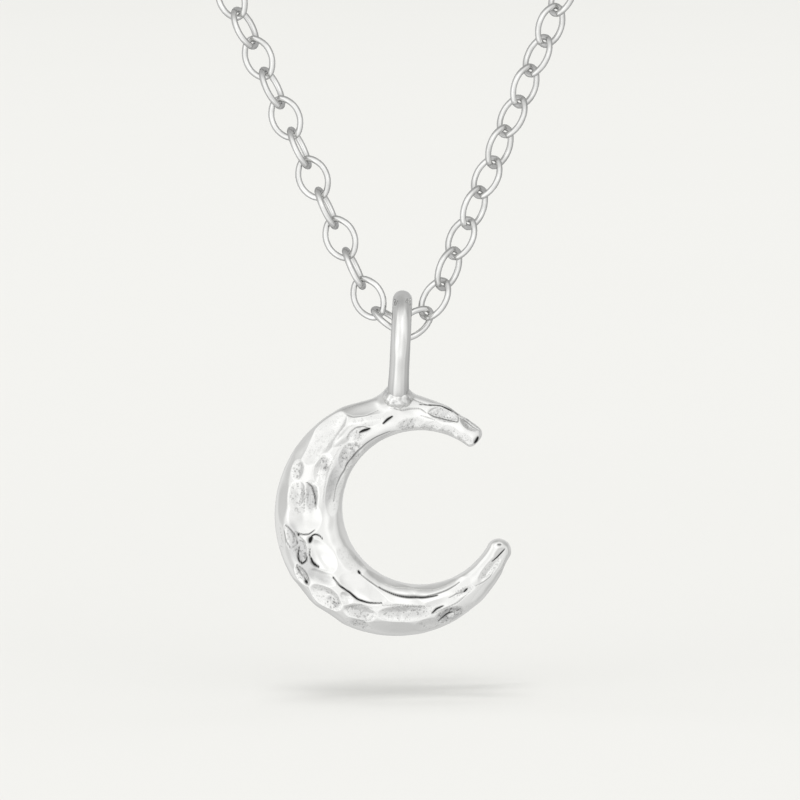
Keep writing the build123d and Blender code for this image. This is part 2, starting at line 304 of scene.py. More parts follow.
# %% Blows set on the skin
# These were placed or moved on the crescent itself, by comparing the render with the photograph.
Blow = namedtuple("Blow", "angle across tilt half_length half_width depth grain")
set_blows = [
    Blow(115.0, 0.90, -12, 1.75, 0.90, 0.22, 0.0),
    Blow(134.0, 0.52, -6, 1.10, 0.40, 0.22, 0.0),
    Blow(153.0, 0.46, 8, 0.60, 0.48, 0.16, 0.75),
    Blow(141.0, 0.19, 0, 0.95, 0.62, 0.15, 0.8),
    Blow(166.0, 0.14, 4, 1.60, 0.56, 0.16, 0.2),
    Blow(183.0, 0.56, 0, 1.06, 1.08, 0.27, 0.0),
    Blow(204.5, 0.45, 13, 1.20, 0.74, 0.30, 0.0),
    Blow(191.0, 0.80, 12, 0.62, 0.28, 0.14, 0.6),
    Blow(197.0, 0.70, 6, 0.95, 0.52, 0.14, 0.72),
    Blow(226.0, 0.80, 20, 0.60, 0.44, 0.17, 0.95),
    Blow(216.0, 0.10, 5, 1.30, 0.60, 0.14, 0.15),
    Blow(249.0, 0.10, -2, 2.10, 0.74, 0.20, 0.0),
    Blow(281.0, 0.10, 3, 2.00, 0.64, 0.17, 0.0),
]


# %% Carry the readings over to the skin
def blow_frame(blow, side):
    """Centre and two tangent directions of a blow, turned by its tilt in the skin's plane."""
    angle = np.radians(blow.angle)
    turn = side * turn_at(blow.across)
    step = 0.001
    centre = smooth_skin(angle, turn)
    along = unit(smooth_skin(angle + step, turn) - smooth_skin(angle - step, turn))
    across = unit(smooth_skin(angle, turn + step) - smooth_skin(angle, turn - step))
    tilt = np.radians(blow.tilt)
    tilted_along = along * np.cos(tilt) - across * np.sin(tilt)
    tilted_across = across * np.cos(tilt) + along * np.sin(tilt)
    return centre, tilted_along, tilted_across


most_stretch = 1.8
least_facing = 0.5


def struck(reading):
    """Blow on the skin from a reading.

    Its tilt is the direction less that of the arc. Skin that leans away is seen shortened across
    the arc by the front part of its normal, so the half sizes grow by 1 / that part, at most 1.8,
    each by its share across the arc: |sin tilt| of the length and 1 - |sin tilt| of the width.
    """
    angle, across = skin_place(whole_view, reading.x, reading.y)
    _, along, up_skin = blow_frame(Blow(angle, across, 0, 1, 1, 0, 0), 1)
    facing = abs(np.cross(along, up_skin)[1])
    stretch = min(most_stretch, 1 / max(facing, least_facing)) - 1
    tilt = (reading.direction - angle) % 180 - 90
    crosswise = abs(np.sin(np.radians(tilt)))
    pixel = photo_scale / whole_view.zoom
    half_length = reading.half_length * pixel * (1 + stretch * crosswise)
    half_width = reading.half_width * pixel * (1 + stretch * (1 - crosswise))
    return Blow(angle, across, tilt, half_length, half_width, reading.depth, reading.grain)


front_blows = [struck(reading) for reading in blow_readings] + set_blows
print(len(front_blows), "blows on the front")

# %% Blows on the back
# The back is out of view. Here it was planished evenly: three rows take turns along the arc.
back_shares = np.array([0.30, 0.66, 0.88])
back_angles = np.arange(57.5, 335.0, 9.5)
back_blows = [
    Blow(angle, back_shares[(number + 1) % len(back_shares)], 0, 0.91, 0.62, 0.150, 0.3)
    for number, angle in enumerate(back_angles)
]
print(len(back_blows), "blows on the back")


# %% Beat the skin
facing_limit = 0.1
blow_reach = 1.3
spot_spread = 1.25


def bowl_and_spot(blow, side):
    """Depth of one bowl at every point of the skin, and its share of punch grain.

    With p and q the offsets along and across in half lengths and half widths, and s their
    p^2 + q^2, the depth is depth * (1 - s), and the spot is 1 / (1 + (1.25 s)^4) of the blow's
    grain. Only skin that faces the same way as the blow's middle is struck.
    """
    centre, along, across = blow_frame(blow, side)
    offset = skin - centre
    spread = (offset @ along / blow.half_length) ** 2 + (offset @ across / blow.half_width) ** 2
    same_side = outward @ np.cross(across, along) > facing_limit
    near = same_side & (np.sum(offset**2, axis=-1) < (blow.half_length * blow_reach) ** 2)
    bowl = np.where(near, blow.depth * (1 - spread), -1.0)
    spot = np.where(near, blow.grain / (1 + (spread * spot_spread) ** 4), 0.0)
    return bowl, spot


softness = 0.008
power_limit = 60
soft_sum = np.ones(skin.shape[:2])
grain = np.zeros(skin.shape[:2])
for side, blows in ((1, front_blows), (-1, back_blows)):
    for blow in blows:
        bowl, spot = bowl_and_spot(blow, side)
        soft_sum += np.exp(np.clip(bowl / softness, -power_limit, power_limit))
        grain = np.maximum(grain, spot)
sink = softness * np.log(soft_sum)
print("deepest", round(sink.max(), 3), "mm, mean", round(sink.mean(), 3), "mm")

# %% Grey patches, one of them painted shade
# They lie on the ground of the creased field, in the double blow and in the low bowl, and along
# the hollow's edge, where the one at 121 degrees is painted shade on the edge that faces down.
# A patch is a blow without depth, and its grain is how strong its grey is.
grey_and_shade_patches = [
    Blow(190.0, 0.77, 0, 0.75, 0.42, 0.0, 0.80),
    Blow(198.0, 0.74, 4, 1.05, 0.62, 0.0, 0.90),
    Blow(206.5, 0.72, 6, 0.85, 0.66, 0.0, 0.85),
    Blow(173.5, 0.48, 6, 0.90, 0.34, 0.0, 0.75),
    Blow(213.5, 0.62, 30, 0.80, 0.36, 0.0, 0.70),
    Blow(159.5, 0.21, 0, 2.30, 0.36, 0.0, 0.70),
    # Painted shade along the hollow's edge, where it faces down.
    Blow(121.0, 0.08, 0, 1.30, 0.30, 0.0, 0.45),
]
film_and_shade = np.zeros(skin.shape[:2])
for patch in grey_and_shade_patches:
    film_and_shade = np.maximum(film_and_shade, bowl_and_spot(patch, 1)[1])
print(len(grey_and_shade_patches), "patches, mean", round(film_and_shade.mean(), 3))

# %% [markdown]
# ## Creases
# Where a blow lands on the edge of another, the metal folds into a hair-thin crease, and it shows
# as a black line. Each crease is a short curve on the skin, given by a few places on it, most of
# them read off the photograph like the blows. A groove is sunk by the distance from that curve, and
# the same distance gives a mask of painted shade that colours the groove's floor near black.

# %% Creases read off the photograph
# A row has its view, its width and depth in mm, how dark the painted shade on its floor is, and its places in
# pixels.
Fold = namedtuple("Fold", "view width depth dark places")
upper_arm_folds = [
    Fold(whole_view, 0.045, 0.050, 0.38, [(745, 82), (830, 100), (890, 100), (960, 122), (1012, 162)]),
    Fold(eye_view, 0.030, 0.030, 0.30, [(430, 65), (500, 95), (600, 85), (720, 30)]),
    Fold(panel_view, 0.042, 0.050, 0.85, [(230, 160), (330, 158), (410, 165), (470, 190), (550, 232)]),
    Fold(panel_view, 0.038, 0.040, 0.60, [(548, 238), (540, 298), (440, 275), (350, 255), (300, 225)]),
    Fold(panel_view, 0.028, 0.030, 0.40, [(300, 225), (330, 190), (420, 165)]),
    Fold(panel_view, 0.034, 0.035, 0.45, [(0, 195), (100, 210), (240, 190), (290, 225)]),
    Fold(panel_view, 0.032, 0.030, 0.40, [(240, 245), (360, 285)]),
    Fold(whole_view, 0.040, 0.045, 0.45, [(990, 160), (1030, 176), (1082, 224)]),
    Fold(whole_view, 0.065, 0.065, 1.00, [(604, 196), (628, 172), (652, 156)]),
]
bend_folds = [
    Fold(eye_view, 0.040, 0.045, 0.50, [(455, 270), (480, 220), (530, 180), (590, 175), (640, 190)]),
    Fold(eye_view, 0.075, 0.070, 1.00, [(560, 230), (600, 205), (640, 190)]),
    Fold(
        eye_view, 0.045, 0.045, 0.60,
        [(800, 215), (700, 255), (600, 320), (520, 420), (450, 500), (400, 620), (365, 780)],
    ),
    Fold(whole_view, 0.035, 0.040, 0.30, [(398, 300), (346, 400), (316, 500), (306, 590)]),
    Fold(whole_view, 0.032, 0.035, 0.40, [(206, 494), (214, 560), (206, 640)]),
    Fold(whole_view, 0.045, 0.050, 0.75, [(222, 485), (252, 510), (270, 560), (272, 622)]),
]
field_folds = [
    Fold(field_view, 0.034, 0.038, 0.65, [(150, 290), (200, 345), (260, 400), (275, 460), (280, 520)]),
    Fold(field_view, 0.028, 0.030, 0.40, [(150, 290), (140, 380), (160, 480), (215, 570), (280, 520)]),
    Fold(blob_view, 0.036, 0.035, 0.90, [(245, 325), (262, 365)]),
    Fold(blob_view, 0.032, 0.035, 0.80, [(268, 330), (280, 368)]),
    Fold(blob_view, 0.030, 0.030, 0.70, [(288, 335), (292, 360)]),
    Fold(
        blob_view, 0.036, 0.045, 0.75,
        [(225, 315), (270, 338), (320, 348), (370, 343), (402, 322), (432, 298)],
    ),
    Fold(blob_view, 0.120, 0.080, 1.00, [(378, 425), (385, 395), (398, 375)]),
    Fold(
        blob_view, 0.045, 0.050, 0.85,
        [(372, 430), (385, 385), (402, 358), (430, 344), (462, 349), (488, 366), (512, 394)],
    ),
    Fold(field_view, 0.036, 0.040, 0.70, [(435, 575), (430, 640), (440, 690)]),
    Fold(blob_view, 0.062, 0.060, 1.00, [(385, 580), (400, 625), (430, 655), (468, 678)]),
    Fold(
        field_view, 0.048, 0.050, 0.90,
        [(300, 545), (290, 640), (310, 710), (345, 745), (385, 710), (400, 660)],
    ),
    Fold(blob_view, 0.034, 0.040, 0.75, [(240, 650), (250, 720), (280, 775), (330, 830)]),
    Fold(blob_view, 0.028, 0.030, 0.45, [(250, 650), (310, 710), (350, 790), (345, 850)]),
    Fold(blob_view, 0.075, 0.060, 1.00, [(312, 822), (340, 845)]),
]
lower_arm_folds = [
    Fold(
        whole_view, 0.060, 0.065, 1.00,
        [(355, 962), (388, 1004), (438, 1038), (478, 1074), (530, 1090), (602, 1090)],
    ),
    Fold(whole_view, 0.040, 0.045, 0.50, [(490, 926), (502, 950), (560, 985), (640, 1028), (712, 1054)]),
    Fold(whole_view, 0.070, 0.070, 1.00, [(488, 924), (494, 940)]),
    Fold(whole_view, 0.040, 0.040, 0.40, [(592, 1102), (690, 1098), (850, 1106)]),
    Fold(whole_view, 0.095, 0.050, 0.72, [(588, 1000), (700, 1048), (800, 1056), (875, 1044)]),
    Fold(arm_view, 0.050, 0.040, 0.55, [(0, 490), (80, 470), (200, 430), (310, 370)]),
    Fold(arm_view, 0.055, 0.050, 0.90, [(90, 635), (130, 595), (185, 570)]),
    Fold(arm_view, 0.036, 0.035, 0.35, [(90, 640), (200, 590), (300, 545), (400, 450)]),
    Fold(whole_view, 0.060, 0.050, 0.80, [(880, 1192), (930, 1160), (956, 1152)]),
    Fold(arm_view, 0.030, 0.035, 0.45, [(225, 505), (290, 470), (345, 460)]),
    Fold(arm_view, 0.055, 0.050, 0.90, [(345, 460), (375, 430)]),
    Fold(arm_view, 0.030, 0.035, 0.35, [(440, 412), (500, 385), (560, 340), (600, 270)]),
    Fold(arm_view, 0.050, 0.050, 0.90, [(570, 215), (640, 160), (680, 118)]),
    Fold(whole_view, 0.030, 0.030, 0.30, [(412, 1140), (440, 1110), (500, 1100), (552, 1118)]),
    Fold(whole_view, 0.030, 0.030, 0.30, [(424, 1160), (480, 1186), (540, 1180), (562, 1150)]),
]

# %% Creases set on the skin
# The two tips are rounded, which the readings don't know, so these are angles and shares.
# dark is how dark the painted shade on the crease's floor is.
Crease = namedtuple("Crease", "places width depth dark")
tip_creases = [
    Crease([(49.5, 0.32), (49.4, 0.48), (50.0, 0.68)], 0.105, 0.065, 1.00),
    Crease([(334.0, 0.30), (335.0, 0.46)], 0.060, 0.050, 0.60),
]
folds_read = upper_arm_folds + bend_folds + field_folds + lower_arm_folds
creases = tip_creases + [
    Crease(read_off(fold.view, fold.places), fold.width, fold.depth, fold.dark)
    for fold in folds_read
]
print(len(folds_read), "creases read off,", len(tip_creases), "set on the skin")


# %% Fold the creases
groove_softness = 1.15
evened_over = 9


def crease_curve(places, samples=24):
    """Points of the skin along a crease, straight between its places and then evened out.

    With them comes the taper 0.5 + 0.5 sin(pi * share of its length), so that it runs out thin.
    """
    knots_at = np.arange(len(places)) * samples
    at = np.arange(knots_at[-1] + 1)
    angle, across = (np.interp(at, knots_at, values) for values in np.array(places).T)
    even = np.ones(evened_over) / evened_over
    padded = [np.pad(values, evened_over // 2, mode="edge") for values in (angle, across)]
    angle, across = (np.convolve(values, even, mode="valid") for values in padded)
    taper = 0.5 + 0.5 * np.sin(np.pi * at / at[-1])
    scale = np.interp(np.radians(angle), angles[:, 0], scales[:, 0])
    return smooth_skin(np.radians(angle), turn_at(across), scale)[::2], taper[::2]


crease_sink = np.zeros(skin.shape[:2])
# The crease mask is painted shade that colours each groove's floor near black.
crease_painted_shade = np.zeros(skin.shape[:2])
front_skin = skin[:, :front_columns]
for crease in creases:
    nearest = np.full(front_skin.shape[:2], np.inf)
    for point, taper in zip(*crease_curve(crease.places)):
        nearest = np.minimum(nearest, np.sum((front_skin - point) ** 2, axis=-1) / taper**2)
    groove = np.exp(-nearest / (groove_softness * crease.width) ** 2)
    for field, strength in ((crease_sink, crease.depth), (crease_painted_shade, crease.dark)):
        field[:, :front_columns] = np.maximum(field[:, :front_columns], strength * groove)
print(len(creases), "creases, deepest", round(crease_sink.max(), 3), "mm")

# %% [markdown]
# ## Punch grain and hand unevenness
# Inside the textured blows the metal is covered in tiny pits a tenth of a millimetre apart. They
# come from smoothed noise with a fixed seed. The rest of the skin is never quite even either, so
# a few long waves are added to it, too low to be seen as waves but enough to bend the reflections.

# %% Add the pits and the waves
pit_seed = 11
generator = np.random.default_rng(pit_seed)
noise = generator.standard_normal(skin.shape[:2])
noise = (noise + np.roll(noise, 1, 0) + np.roll(noise, 1, 1) + np.roll(np.roll(noise, 1, 0), 1, 1)) / 2
pit_depth = 0.005
pit_limit = 1.8
wave_height = 0.006
fine_wave_height = 0.003
undersize = 0.012
pits = pit_depth * grain * np.clip(noise, -pit_limit, pit_limit)
waves = wave_height * np.sin(17 * angles + 2 * np.sin(turns)) * np.sin(3 * turns + 5 * angles)
waves = waves + fine_wave_height * np.sin(41 * angles + 3 * np.sin(2 * turns) + 1.0)
relief = sink + crease_sink + pits * scales + (waves + undersize) * scales
print("pits", round(np.abs(pits).max(), 4), "waves", round(np.abs(waves).max(), 4))

# %% [markdown]
# ## The bail's wire
# The bail is a round wire bent into a pear: a large arc that the chain runs through, two straight
# legs and a small arc at the foot. The direction from the wire's bend to its outside turns evenly
# on the arcs and stands still on the legs, so the whole path is a few numbers read off between five
# knots. A bent wire has no sudden change from arc to leg, so the path is evened out over a third
# of a millimetre. The wire swells a little towards the foot, where the solder has crept up it.

# %% Bend the wire
bail_wire = 1.18
ring_radius = 1.5 + bail_wire / 2
foot_radius = 0.75
foot_sink = 0.35
foot_swell = 0.10
foot_reach = 0.9
easing_length = 0.3
bail_up = np.cross(bail_axis, [0.0, 1.0, 0.0])
outer_centre = hollow_centre + np.array([outer_shift[0], 0.0, outer_shift[1]])
toward_outer = -(bail_up @ outer_centre)
foot_distance = toward_outer - np.sqrt(toward_outer**2 - outer_centre @ outer_centre + outer_radius**2)
foot_depth = foot_distance + foot_sink - foot_radius
foot_point = -foot_distance * bail_up
pear_angle = np.arcsin((ring_radius - foot_radius) / foot_depth)
leg_length = foot_depth * np.cos(pear_angle)
ring_arc = ring_radius * (np.pi + 2 * pear_angle)
foot_arc = foot_radius * (np.pi - 2 * pear_angle)
runs = [ring_arc, leg_length, foot_arc, leg_length]
knots = np.concatenate([[0.0], np.cumsum(runs)])


def bail_path(run):
    """Point of the wire's middle, and the direction to the outside of its bend, at a run along it.

    The point is centre + radius * (cos, sin) of the bend's angle, and all three are straight lines
    between the knots.
    """
    first, second, third = -pear_angle, np.pi + pear_angle, 2 * np.pi - pear_angle
    bend = np.interp(run, knots, [first, second, second, third, third])
    drop = np.interp(run, knots, [0, 0, foot_depth, foot_depth, 0])
    radius = np.interp(run, knots, [ring_radius, ring_radius, foot_radius, foot_radius, ring_radius])
    outside = np.cos(bend)[:, None] * np.array([0.0, 1.0, 0.0]) + np.sin(bend)[:, None] * bail_up
    return radius[:, None] * outside - drop[:, None] * bail_up, outside


bail_rows = 190
bail_columns = 36
bail_runs = np.linspace(0, knots[-1], bail_rows, endpoint=False)
wire_middle, wire_outside = bail_path(bail_runs)
away = np.minimum(bail_runs, knots[-1] - bail_runs)
easing = np.exp(-((away / easing_length) ** 2) / 2)
easing = np.fft.fft(easing / easing.sum())[:, None]
wire_middle = np.real(np.fft.ifft(np.fft.fft(wire_middle, axis=0) * easing, axis=0))
wire_along = unit(np.roll(wire_middle, -1, axis=0) - np.roll(wire_middle, 1, axis=0))
wire_outside = np.cross(wire_along, bail_axis)
wire_outside *= np.sign(np.sum(wire_outside * bail_path(bail_runs)[1], axis=-1, keepdims=True))
foot_nearness = np.exp(-(((wire_middle - foot_point) @ bail_up / foot_reach) ** 2))
wire_radius = (bail_wire / 2 * (1 + foot_swell * foot_nearness))[:, None, None]
wire_turn = np.linspace(0, 2 * np.pi, bail_columns, endpoint=False)[None, :, None]
wire_ring = np.cos(wire_turn) * wire_outside[:, None] + np.sin(wire_turn) * bail_axis
bail_points = wire_middle[:, None] + wire_radius * wire_ring
print("bail wire", round(knots[-1], 2), "mm long, foot", np.round(foot_point, 3))

# %% [markdown]
# ## Solder at the foot
# Solder draws itself into the corner between wire and crescent and leaves a smooth concave fillet.
# The skin is lifted by a height that dies away with its gap from the wire, and the wire then
# enters the hill without a hard corner. The CAD model has the same low mound. In front, a lump of
# solder has run over the wire's foot and cooled with folds in it. It is a ball squeezed to three
# sizes, whose radius swells by a sum of sharp waves.

# %% A puddle of solder over the foot
puddle_rows, puddle_columns = 44, 64
puddle_size = np.array([0.92, 0.82, 0.78])
puddle_drop = 0.53
puddle_front = 0.50
puddle_pole = 0.80
puddle_centre = -(foot_depth + puddle_drop) * bail_up - np.array([0.0, puddle_front, 0.0])
fold_scale = 1.25
fold_height = 0.05
puddle_rise = np.linspace(-np.pi / 2, np.pi / 2, puddle_rows + 2)[1:-1, None]
puddle_turn = np.linspace(0, 2 * np.pi, puddle_columns, endpoint=False)[None, :]
puddle_parts = np.broadcast_arrays(
    np.cos(puddle_rise) * np.cos(puddle_turn),
    np.cos(puddle_rise) * np.sin(puddle_turn),
    np.sin(puddle_rise),
)
puddle_ball = np.stack(puddle_parts, axis=-1)


def crumple(points):
    """Folds of cooled solder: three sharp waves abs(sin) in unlike directions, at points of a ball."""
    folds = np.abs(np.sin(points @ np.array([4.1, 1.3, 2.2]) + 0.4))
    folds = folds + 0.8 * np.abs(np.sin(points @ np.array([-2.6, 3.7, 4.4]) + 1.9 + folds))
    return folds + 0.6 * np.abs(np.sin(points @ np.array([6.3, -3.2, 5.1]) + 0.9 + folds))


puddle_lumps = crumple(puddle_ball * fold_scale)
puddle_lumps = puddle_lumps - puddle_lumps.mean()
puddle_axes = np.stack([bail_axis, [0.0, 1.0, 0.0], bail_up])
puddle_swell = 1 + fold_height * puddle_lumps[..., None]
puddle_grid = puddle_centre + (puddle_ball * puddle_size * puddle_swell) @ puddle_axes
puddle_poles = puddle_centre + np.array([[0.0, 0.0, -puddle_pole], [0.0, 0.0, puddle_pole]]) @ puddle_axes
print("puddle", puddle_grid.shape, "lumps", round(puddle_lumps.min(), 2), round(puddle_lumps.max(), 2))

# %% Lift the skin towards the wire and the puddle
gap = np.full(skin.shape[:2], np.inf)
for middle in wire_middle[::2]:
    gap = np.minimum(gap, np.linalg.norm(skin - middle, axis=-1))
puddle_reach = puddle_size.min() - 0.1
mound_height = 0.33
fillet_height = 0.26
fillet_reach = 0.30
calmed_share = 0.8
calmed_reach = 0.5
puddle_gap = np.linalg.norm(skin - puddle_centre, axis=-1) - puddle_reach
gap = np.maximum(np.minimum(gap - bail_wire / 2, puddle_gap), 0.0)
mound = mound_height * np.exp(-(np.sum((skin - foot_point) ** 2, axis=-1)))
fillet = fillet_height * np.exp(-gap / fillet_reach)
calm = 1 - calmed_share * np.exp(-gap / calmed_reach)
moon_points = skin + outward * (mound + fillet - relief * calm)[..., None]
print("highest solder", round((mound + fillet).max(), 2), "mm")


# %% Close the two tips and make the pendant
def pole_fan(pole, row_start, count, upwards):
    """Triangles from a pole to a ring of count points that starts at a number."""
    point = np.arange(count)
    following = (point + 1) % count
    pair = (following, point) if upwards else (point, following)
    return np.stack([np.full(count, pole), row_start + pair[0], row_start + pair[1]], axis=-1)


rows, columns = moon_points.shape[:2]
tips = np.stack([smooth_skin(upper_tip, 0.0, 0.0), smooth_skin(lower_tip, 0.0, 0.0)])
moon_quads = grid_faces(rows, columns, closed=False)
pole = rows * columns
upper_fan = pole_fan(pole, 0, columns, True)
lower_fan = pole_fan(pole + 1, (rows - 1) * columns, columns, False)
moon_triangles = np.concatenate([upper_fan, lower_fan])
bail_start = pole + 2
bail_quads = grid_faces(bail_rows, bail_columns, closed=True)
moon_volume = inside(np.concatenate([moon_points.reshape(-1, 3), tips]), moon_quads)
if inside(bail_points.reshape(-1, 3), bail_quads) * moon_volume < 0:
    bail_quads = bail_quads[:, ::-1]
bail_quads = bail_quads + bail_start
puddle_points = np.concatenate([puddle_grid.reshape(-1, 3), puddle_poles])
puddle_quads = grid_faces(puddle_rows, puddle_columns, closed=False)
low_pole = puddle_rows * puddle_columns
low_fan = pole_fan(low_pole, 0, puddle_columns, True)
high_fan = pole_fan(low_pole + 1, low_pole - puddle_columns, puddle_columns, False)
puddle_fans = np.concatenate([low_fan, high_fan])
if inside(puddle_points, puddle_quads) * moon_volume < 0:
    puddle_quads = puddle_quads[:, ::-1]
    puddle_fans = puddle_fans[:, ::-1]
puddle_start = bail_start + bail_rows * bail_columns
pendant_points = np.concatenate([moon_points.reshape(-1, 3), tips, bail_points.reshape(-1, 3), puddle_points])
hammered_moon = make_piece(
    "hammered_moon", pendant_points + bail_centre,
    [moon_quads, moon_triangles, bail_quads, puddle_quads + puddle_start, puddle_fans + puddle_start],
    "pendant", "pendant",
)

# %% Give the material its masks
# grain is the share of punch pits, hollow is how deep a point lies in a blow, and crease is painted
# shade that colours the floor of a fold near black. stain is an even grey film round the bail's foot
# and in the folds of the puddle, and the grey patches, one of which is painted shade along the
# hollow's edge. wire is how strongly painted shade darkens the bail and its solder towards their
# outline.
foot_film = 0.55
fold_film = 0.9
# Strength of the painted shade towards the outline, on the bail and on the solder.
bail_edge_shade = 0.6
solder_edge_shade = 0.45


def on_the_skin(values):
    """Values of the skin's grid, with zeros for the poles, the bail and the puddle."""
    return np.concatenate([values.ravel(), np.zeros(len(pendant_points) - values.size)])


film_and_shade_share = on_the_skin(film_and_shade)
film_and_shade_share[bail_start:puddle_start] = foot_film * np.repeat(foot_nearness, bail_columns)
film_and_shade_share[puddle_start:-2] = fold_film * np.clip(-puddle_lumps, 0.0, 1.0).ravel()
# The wire mask sets how strongly painted shade darkens the bail and the solder towards their outline.
edge_shade_share = np.zeros(len(pendant_points))
edge_shade_share[bail_start:puddle_start] = bail_edge_shade
edge_shade_share[puddle_start:] = solder_edge_shade
masks = {
    "grain": on_the_skin(grain),
    "hollow": on_the_skin(sink / sink.max()),
    "crease": on_the_skin(crease_painted_shade),
    "film_and_shade": film_and_shade_share,
    "wire": edge_shade_share,
}
for mask_name, values in masks.items():
    mask = hammered_moon.data.attributes.new(mask_name, "FLOAT", "POINT")
    mask.data.foreach_set("value", values.astype(np.float32))
    print(mask_name, "mean", round(float(values.mean()), 3))

# %% [markdown]
# ## The drape of the chain
# A chain has no stiffness, so its shape is where its links are. Each half leaves the bail in two
# steep links, runs straight up the chest and turns in one wide arc round the neck. The lean of the
# sheet that it lies in grows from the chest to the nape. Every link is placed from the one before:
# half a link on, back by the wire and its play, and half a link on again, so neighbours stay
# hooked and never touch.

# %% Sizes of the chain
link_pitch = 2.0
link_wire = 0.37
link_width = 2.11
link_end_radius = 0.60
link_play = 0.105
vertex_play = 0.20
overlap = link_wire + link_play
link_reach = (link_pitch + overlap) / 2
Half = namedtuple("Half", "side links roll_links rolls")
left_half = Half(-1, 110, [0, 2, 6, 10, 110], [25.0, 14.0, 18.0, 34.0, 0.0])
right_half = Half(1, 111, [0, 2, 6, 10, 111], [40.0, 36.0, 40.0, 48.0, 0.0])

eyelet_radius = 0.8
eyelet_wire = 0.5
clasp_radius = 2.25
clasp_tube = 1.1
end_ring_radius = 1.8
end_ring_wire = 0.6
ring_play = 0.12
eyelet_at = eyelet_radius - (eyelet_wire + link_wire) / 2 - ring_play
clasp_at = eyelet_at + eyelet_radius + clasp_radius + clasp_tube / 2
ring_near = clasp_at + clasp_radius - (clasp_tube + end_ring_wire) / 2 - ring_play
link_hold = (end_ring_wire + link_wire) / 2 + ring_play
closing_run = (ring_near + 2 * end_ring_radius - link_hold) / 2

steep = np.radians([53.5, 27.0])
leg_angle = np.radians(23.4)
half_length = (left_half.links + right_half.links) / 2 * link_pitch
steep_run = len(steep) * link_pitch
sideways = (link_pitch * np.sin(steep).sum() - closing_run) / np.sin(leg_angle)
neck_radius = half_length - steep_run + sideways
neck_radius /= 1 / np.tan(leg_angle) + np.pi / 2 + leg_angle
chain_leg = half_length - steep_run - neck_radius * (np.pi / 2 + leg_angle)
lean_rises = [70.0, 186.0]
lean_degrees = [12.0, 80.0]
print("neck radius", round(neck_radius, 2), "mm, straight leg", round(chain_leg, 2), "mm")


# %% Walk along a half
def hook_direction(across, next_across, along):
    """Common perpendicular of two crossing end wires, on the side that the chain runs to."""
    hook = unit(np.cross(across, next_across))
    return hook * np.sign(np.sum(hook * along, axis=-1, keepdims=True))


def walk(half):
    """Centres, directions along and directions across of a half's links, from the bail upwards.

    The angle from upright is the steep links', then the leg's, then falls by run / neck_radius.
    Each link's centre is the last one's plus reach * (along + next along) - overlap * hook.
    """
    number = np.arange(half.links)
    run = (number + 0.5) * link_pitch
    angle = leg_angle - np.maximum(0.0, run - steep_run - chain_leg) / neck_radius
    angle[: len(steep)] = steep
    rise = np.cumsum(link_pitch * np.cos(angle)) - link_pitch * np.cos(angle) / 2
    lean = np.radians(np.interp(rise, lean_rises, lean_degrees))
    sideways_part = half.side * np.sin(angle)
    along = np.stack([sideways_part, np.cos(angle) * np.sin(lean), np.cos(angle) * np.cos(lean)], -1)
    front = np.stack([np.zeros_like(lean), -np.cos(lean), np.sin(lean)], -1)
    front = unit(front - along * np.sum(along * front, axis=-1, keepdims=True))
    every_other = np.where(number % 2 == 0, 90, 0)
    roll = np.radians(np.interp(number, half.roll_links, half.rolls) + every_other)[:, None]
    across = np.cross(along, front) * np.cos(roll) + front * np.sin(roll)
    hooks = hook_direction(across[:-1], across[1:], along[:-1])
    steps = link_reach * (along[:-1] + along[1:]) - overlap * hooks
    centres = np.cumsum(np.concatenate([link_reach * along[:1], steps]), axis=0)
    return centres, along, across


left_links, right_links = walk(left_half), walk(right_half)
vertex_along = left_links[1][:1] - right_links[1][:1]
vertex_hook = hook_direction(right_links[2][:1], left_links[2][:1], vertex_along)
vertex_gap = vertex_hook * (overlap + vertex_play) / 2
left_tip = left_links[0][-1] + left_links[1][-1] * link_reach - vertex_gap[0]
right_tip = right_links[0][-1] + right_links[1][-1] * link_reach + vertex_gap[0]
nape = (left_tip + right_tip) / 2
left_links = (left_links[0] - vertex_gap - nape, *left_links[1:])
right_links = (right_links[0] + vertex_gap - nape, *right_links[1:])
left_tip, right_tip = left_tip - nape, right_tip - nape
tip_gap = np.linalg.norm(left_tip - right_tip)
print("hooked links lie at", np.round(-nape, 3), "and end", round(tip_gap, 2), "mm apart")

# %% [markdown]
# ## One link, repeated
# Drawn wire is wound on an oval mandrel, cut and soldered shut. The oval is four tangent arcs. A
# link is repeated more than a hundred times, so its cage is only sixteen points along and six
# around, and one level of subdivision rounds it. Subdivision shrinks a cage, so the cage is worked
# out backwards: it is the grid whose smoothed points lie on the true wire.


# %% Shape of the link
link_half_width = (link_width - link_wire) / 2
side_radius = (link_reach - link_end_radius) ** 2 + link_half_width**2 - link_end_radius**2
side_radius /= 2 * (link_half_width - link_end_radius)
side_drop = side_radius - link_half_width
end_reach = link_reach - link_end_radius
blend = np.arctan2(side_drop, end_reach)


def oval(turn):
    """Point of the oval and its outward direction, both at a turn of the outward direction.

    The outward direction turns evenly on each arc, so the arc is told by the turn alone: within
    blend of the long axis it is an end arc, and otherwise a side arc.
    """
    outside = np.stack([np.cos(turn), np.sin(turn)], axis=-1)
    at_end = np.abs(np.sin(turn)) <= np.sin(blend)
    end_centre = np.stack([np.sign(np.cos(turn)) * end_reach, 0 * turn], axis=-1)
    side_centre = np.stack([0 * turn, -np.sign(np.sin(turn)) * side_drop], axis=-1)
    radius = np.where(at_end, link_end_radius, side_radius)[:, None]
    return np.where(at_end[:, None], end_centre, side_centre) + radius * outside, outside


